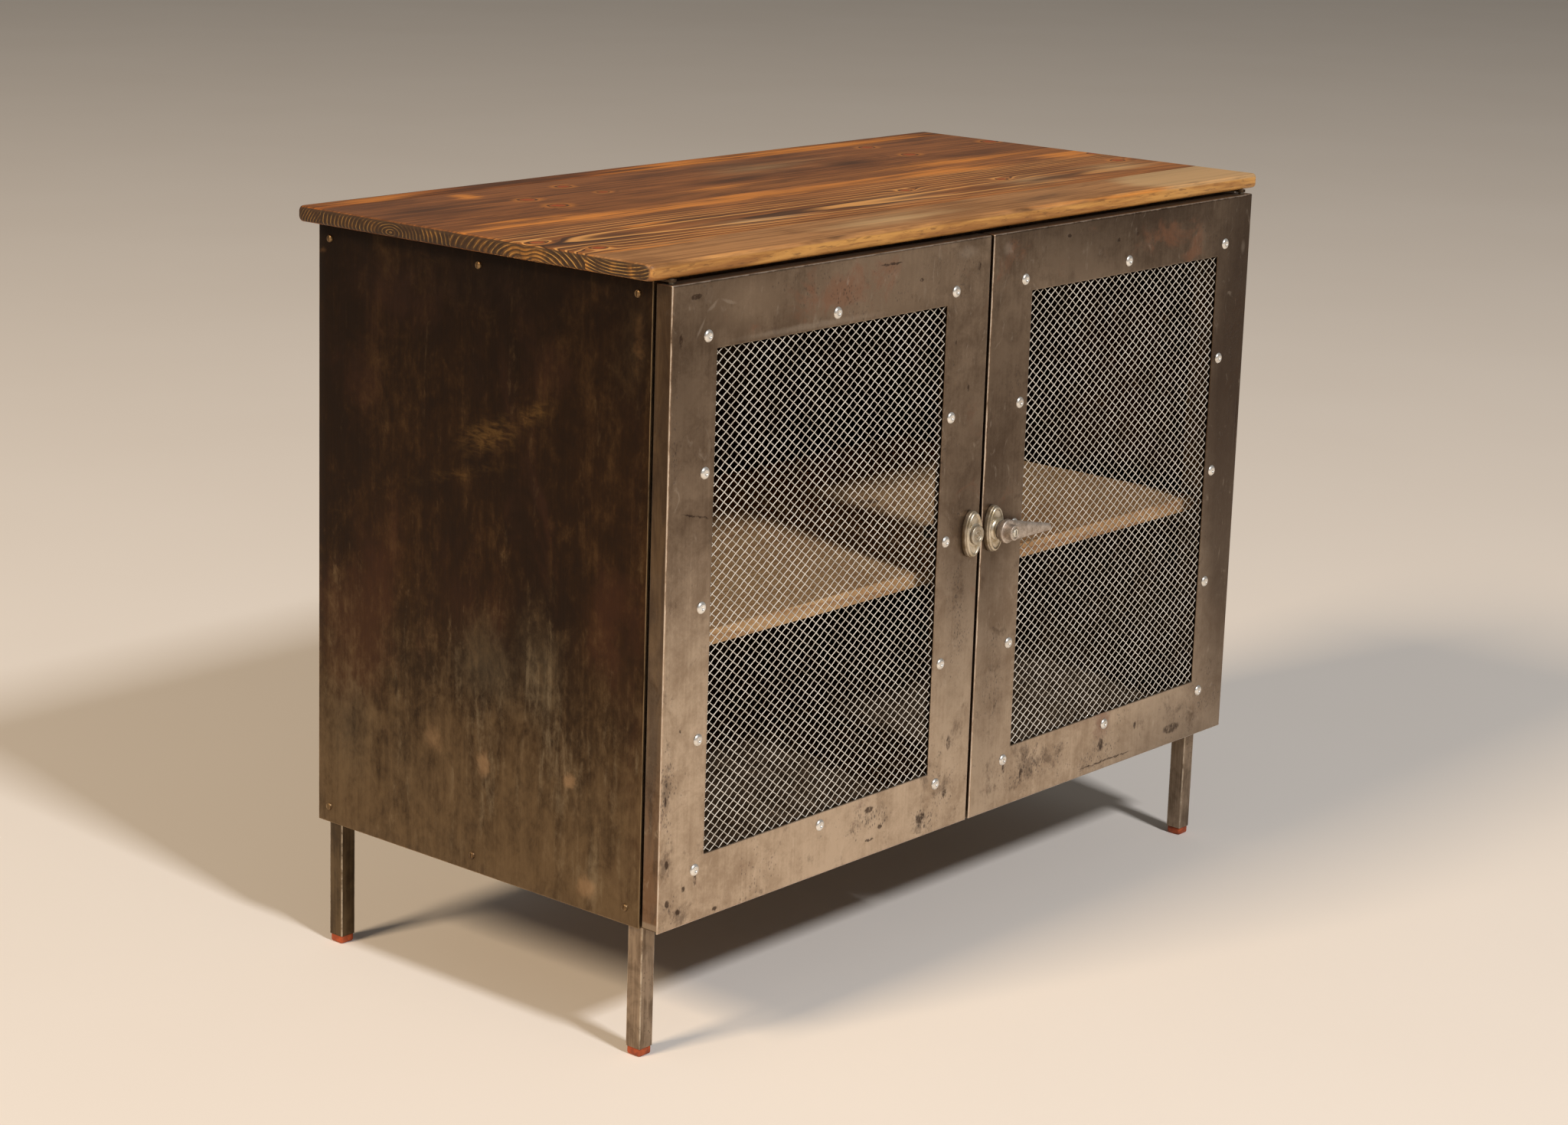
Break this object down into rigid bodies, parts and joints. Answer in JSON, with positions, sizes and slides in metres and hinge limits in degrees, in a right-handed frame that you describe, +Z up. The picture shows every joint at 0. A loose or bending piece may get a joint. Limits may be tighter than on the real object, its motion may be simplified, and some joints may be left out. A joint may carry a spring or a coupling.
{
  "type": "metal cabinet",
  "caption": "Low steel cabinet on square legs with a glued pine top, an inner shelf and two hinged doors with wire mesh windows, a lever handle and a turn knob.",
  "frame": {"origin": "on the ground, at the middle of the overall footprint", "axes": "+X along the front towards the lever handle's door, +Y from the doors to the back, +Z up"},
  "size_m": [1.088, 0.5556, 0.834],
  "materials": {
    "top_pine": "dark-stained pine, worn satin varnish",
    "shelf_pine": "bare tan pine, matte",
    "frame_steel": "bare steel with a dark brown patina",
    "leg_steel": "bare grey-brown steel, ground edges",
    "foot_plastic": "matte orange-brown plug",
    "panel_steel": "dark bronze-brown patina with streaks",
    "door_steel": "bare grey-brown steel with rust specks",
    "mesh_wire": "bright galvanised wire",
    "rivet_metal": "bright satin",
    "screw_steel": "tarnished steel",
    "handle_nickel": "cast, worn warm nickel, satin",
    "latch_steel": "zinc-plated, dull",
    "pad_rubber": "matte black"
  },
  "bodies": {
    "carcass": {"top_plank_front": "top_pine", "top_plank_middle": "top_pine", "top_plank_back": "top_pine", "top_strip_back": "top_pine", "shelf": "shelf_pine", "front_left_post": "frame_steel", "front_right_post": "frame_steel", "back_left_post": "frame_steel", "back_right_post": "frame_steel", "top_front_rail": "frame_steel", "top_back_rail": "frame_steel", "top_left_rail": "frame_steel", "top_right_rail": "frame_steel", "bottom_front_rail": "frame_steel", "bottom_back_rail": "frame_steel", "bottom_left_rail": "frame_steel", "bottom_right_rail": "frame_steel", "left_hinge_plates": "frame_steel", "right_hinge_plates": "frame_steel", "back_post_plates": "frame_steel", "left_shelf_cleat": "frame_steel", "right_shelf_cleat": "frame_steel", "latch_keeper": "frame_steel", "front_left_leg": "leg_steel", "front_right_leg": "leg_steel", "back_left_leg": "leg_steel", "back_right_leg": "leg_steel", "foot_plugs": "foot_plastic", "left_side_panel": "panel_steel", "right_side_panel": "panel_steel", "back_panel": "panel_steel", "cabinet_floor": "panel_steel", "top_screws": "screw_steel", "side_screws": "screw_steel", "back_screws": "screw_steel", "shelf_screws": "screw_steel", "hinge_pins": "screw_steel", "door_bumpers": "pad_rubber"},
    "left_door": {"left_door_pan": "door_steel", "left_door_mesh": "mesh_wire", "left_mesh_retainer": "frame_steel", "left_door_rivets": "rivet_metal", "left_hinge_blocks": "frame_steel", "left_rose": "handle_nickel", "left_rose_ring": "latch_steel"},
    "left_knob": {"turn_knob": "handle_nickel", "knob_cam": "latch_steel", "knob_cam_nut": "latch_steel"},
    "right_door": {"right_door_pan": "door_steel", "right_door_mesh": "mesh_wire", "right_mesh_retainer": "frame_steel", "right_door_rivets": "rivet_metal", "right_hinge_blocks": "frame_steel", "right_rose": "handle_nickel", "right_rose_ring": "latch_steel"},
    "lever": {"lever_handle": "handle_nickel", "lever_spindle": "latch_steel", "lever_cam": "latch_steel", "lever_cam_nut": "latch_steel"},
    "lock": {"lock_plug": "handle_nickel"}
  },
  "joints": [
    {"name": "left_door_swing", "type": "hinge", "parent": "carcass", "child": "left_door", "pos_m": [-0.5105, -0.2327, 0.145], "axis": [0, 0, -1], "range_deg": [0, 105]},
    {"name": "right_door_swing", "type": "hinge", "parent": "carcass", "child": "right_door", "pos_m": [0.5105, -0.2327, 0.145], "axis": [0, 0, 1], "range_deg": [0, 105]},
    {"name": "knob_turn", "type": "hinge", "parent": "left_door", "child": "left_knob", "pos_m": [-0.02, -0.2432, 0.4816], "axis": [0, -1, 0], "range_deg": [0, 90]},
    {"name": "lever_turn", "type": "hinge", "parent": "right_door", "child": "lever", "pos_m": [0.02, -0.2432, 0.4816], "axis": [0, 1, 0], "range_deg": [0, 90]},
    {"name": "lock_turn", "type": "hinge", "parent": "lever", "child": "lock", "pos_m": [0.02, -0.2732, 0.4816], "axis": [0, 1, 0], "range_deg": [0, 90]}
  ]
}
